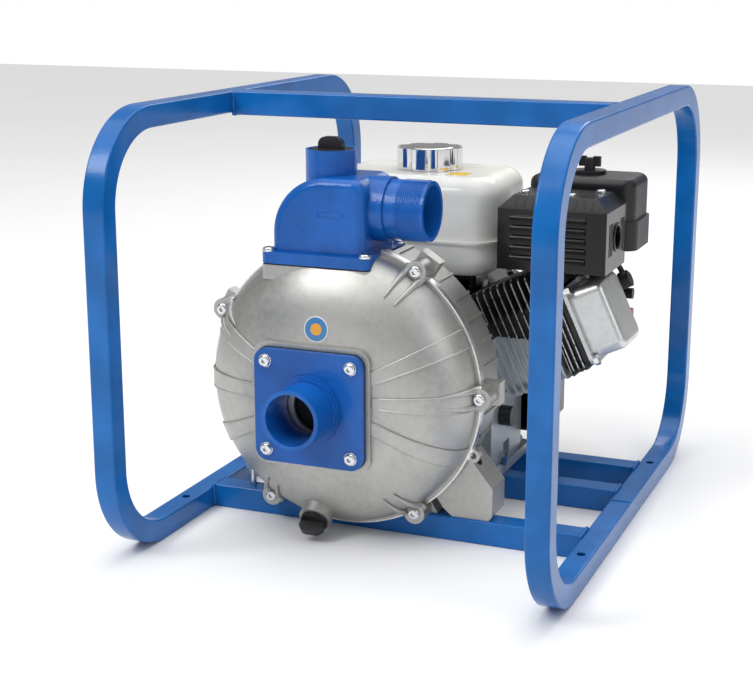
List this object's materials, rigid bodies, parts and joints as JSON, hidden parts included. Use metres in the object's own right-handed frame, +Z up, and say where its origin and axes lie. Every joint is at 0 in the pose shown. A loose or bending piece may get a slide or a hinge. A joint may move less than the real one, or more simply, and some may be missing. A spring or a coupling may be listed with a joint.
{
  "type": "engine-driven trash pump",
  "caption": "Self-priming trash pump on a small petrol engine in a square-tube roll cage, with a flanged suction spigot and an elbow discharge.",
  "frame": {"origin": "bottom centre of the roll cage", "axes": "+X to the right seen from the suction side, +Y from the suction side to the starter, +Z up"},
  "size_m": [0.457, 0.612, 0.445],
  "materials": {
    "frame_paint": "gloss blue paint over square tube",
    "casing_aluminium": "shot-blasted die casting",
    "fitting_paint": "gloss blue paint over sand casting",
    "gasket_rubber": "black rubber",
    "zinc_steel": "bright zinc plate",
    "black_plastic": "moulded, fine texture",
    "cast_iron": "as cast",
    "ground_steel": "ground",
    "engine_aluminium": "pale grey engine enamel over casting",
    "rocker_aluminium": "satin pressed cover",
    "guard_paint": "gloss black enamel",
    "muffler_steel": "aluminised steel",
    "tank_paint": "gloss cream enamel",
    "cap_chrome": "bright chrome",
    "filter_foam": "oiled foam and paper",
    "red_plastic": "red moulded",
    "badge": "plain printed foil"
  },
  "bodies": {
    "root": {"left_hoop": "frame_paint", "right_hoop": "frame_paint", "top_bar": "frame_paint", "front_cross_bar": "frame_paint", "middle_cross_bar": "frame_paint", "rear_cross_bar": "frame_paint", "front_casing": "casing_aluminium", "rear_casing": "casing_aluminium", "volute_insert": "casing_aluminium", "suction_flange": "fitting_paint", "discharge_housing": "fitting_paint", "suction_gasket": "gasket_rubber", "discharge_gasket": "gasket_rubber", "spark_plug_lead": "gasket_rubber", "fuel_hose": "gasket_rubber", "spark_plug_cap": "gasket_rubber", "flange_bolts": "zinc_steel", "casing_bolts": "zinc_steel", "adapter_bolts": "zinc_steel", "engine_cover_screws": "zinc_steel", "frame_bolts": "zinc_steel", "oil_drain_bolt": "zinc_steel", "air_cleaner_base": "black_plastic", "ignition_coil": "black_plastic", "crank_bearings": "ground_steel", "seal_fixed_ring": "ground_steel", "spark_plug": "ground_steel", "crankcase": "engine_aluminium", "crankcase_cover": "engine_aluminium", "cylinder_head": "engine_aluminium", "carburetor": "engine_aluminium", "rocker_cover": "rocker_aluminium", "muffler_guard": "guard_paint", "tank_bracket": "guard_paint", "fan_cover": "guard_paint", "muffler": "muffler_steel", "recoil_cover": "guard_paint", "fuel_tank": "tank_paint", "air_filter_element": "filter_foam", "maker_badge": "badge"},
    "rotor": {"crankshaft": "ground_steel", "flywheel": "engine_aluminium", "impeller": "cast_iron", "seal_rotating_ring": "ground_steel"},
    "camshaft": {"camshaft": "ground_steel"},
    "piston": {"piston": "engine_aluminium"},
    "suction_flap": {"suction_flap": "gasket_rubber", "flap_weight": "zinc_steel"},
    "fill_plug": {"fill_plug": "black_plastic"},
    "drain_plug": {"drain_plug": "black_plastic"},
    "fuel_cap": {"fuel_cap": "cap_chrome"},
    "oil_filler_cap": {"oil_filler_cap": "black_plastic"},
    "air_cleaner_cover": {"air_cleaner_cover": "black_plastic"},
    "air_cleaner_wing_nut": {"air_cleaner_wing_nut": "black_plastic"},
    "recoil_handle": {"recoil_handle": "black_plastic"},
    "recoil_pulley": {"recoil_pulley": "black_plastic"},
    "throttle_lever": {"throttle_lever": "ground_steel"},
    "choke_lever": {"choke_lever": "black_plastic"},
    "fuel_valve_lever": {"fuel_valve_lever": "red_plastic"},
    "engine_switch": {"engine_switch": "red_plastic"}
  },
  "joints": [
    {"name": "crank_spin", "type": "hinge", "parent": "root", "child": "rotor", "pos_m": [0, 0, 0.1314], "axis": [0, 1, 0], "continuous": true},
    {"name": "cam_spin", "type": "hinge", "parent": "root", "child": "camshaft", "pos_m": [-0.0212, 0.05, 0.0948], "axis": [0, 1, 0], "continuous": true},
    {"name": "piston_stroke", "type": "slide", "parent": "root", "child": "piston", "axis": [0.9063, 0, 0.4226], "range_m": [-0.045, 0]},
    {"name": "suction_flap_swing", "type": "hinge", "parent": "root", "child": "suction_flap", "pos_m": [-0.0565, -0.1642, 0.183], "axis": [1, 0, 0], "range_deg": [0, 40]},
    {"name": "fill_plug_turn", "type": "hinge", "parent": "root", "child": "fill_plug", "pos_m": [-0.067, -0.098, 0.391], "axis": [0, 0, 1], "range_deg": [0, 1080]},
    {"name": "drain_plug_turn", "type": "hinge", "parent": "root", "child": "drain_plug", "pos_m": [-0.062, -0.14, 0.0342], "axis": [0, -0.8192, -0.5736], "range_deg": [0, 1080]},
    {"name": "fuel_cap_turn", "type": "hinge", "parent": "root", "child": "fuel_cap", "pos_m": [-0.034, 0.098, 0.366], "axis": [0, 0, 1], "range_deg": [0, 90]},
    {"name": "oil_filler_cap_turn", "type": "hinge", "parent": "root", "child": "oil_filler_cap", "pos_m": [0.085, 0.024, 0.099], "axis": [1, 0, 0], "range_deg": [0, 720]},
    {"name": "air_cleaner_lift", "type": "slide", "parent": "root", "child": "air_cleaner_cover", "axis": [0, 0, 1], "range_m": [0, 0.05]},
    {"name": "wing_nut_turn", "type": "hinge", "parent": "air_cleaner_cover", "child": "air_cleaner_wing_nut", "pos_m": [0.141, 0.13, 0.362], "axis": [0, 0, 1], "continuous": true},
    {"name": "recoil_pull", "type": "slide", "parent": "root", "child": "recoil_handle", "axis": [1, 0, 0], "range_m": [0, 0.45], "stiffness_N_per_m": 20},
    {"name": "recoil_pulley_spin", "type": "hinge", "parent": "root", "child": "recoil_pulley", "pos_m": [0, 0.208, 0.1314], "axis": [0, 1, 0], "range_deg": [0, 640]},
    {"name": "throttle_swing", "type": "hinge", "parent": "root", "child": "throttle_lever", "pos_m": [0.112, 0.094, 0.214], "axis": [0, 1, 0], "range_deg": [-20, 20]},
    {"name": "choke_swing", "type": "hinge", "parent": "root", "child": "choke_lever", "pos_m": [0.178, 0.122, 0.226], "axis": [1, 0, 0], "range_deg": [-45, 0]},
    {"name": "fuel_valve_swing", "type": "hinge", "parent": "root", "child": "fuel_valve_lever", "pos_m": [0.178, 0.122, 0.204], "axis": [1, 0, 0], "range_deg": [0, 45]},
    {"name": "engine_switch_turn", "type": "hinge", "parent": "root", "child": "engine_switch", "pos_m": [0.088, 0.19, 0.08], "axis": [0, 1, 0], "range_deg": [0, 60]}
  ],
  "couplings": [
    {"joint": "cam_spin", "follows": "crank_spin", "ratio": -0.5},
    {"joint": "recoil_pulley_spin", "follows": "recoil_pull", "rad_per_m": 24.39}
  ]
}
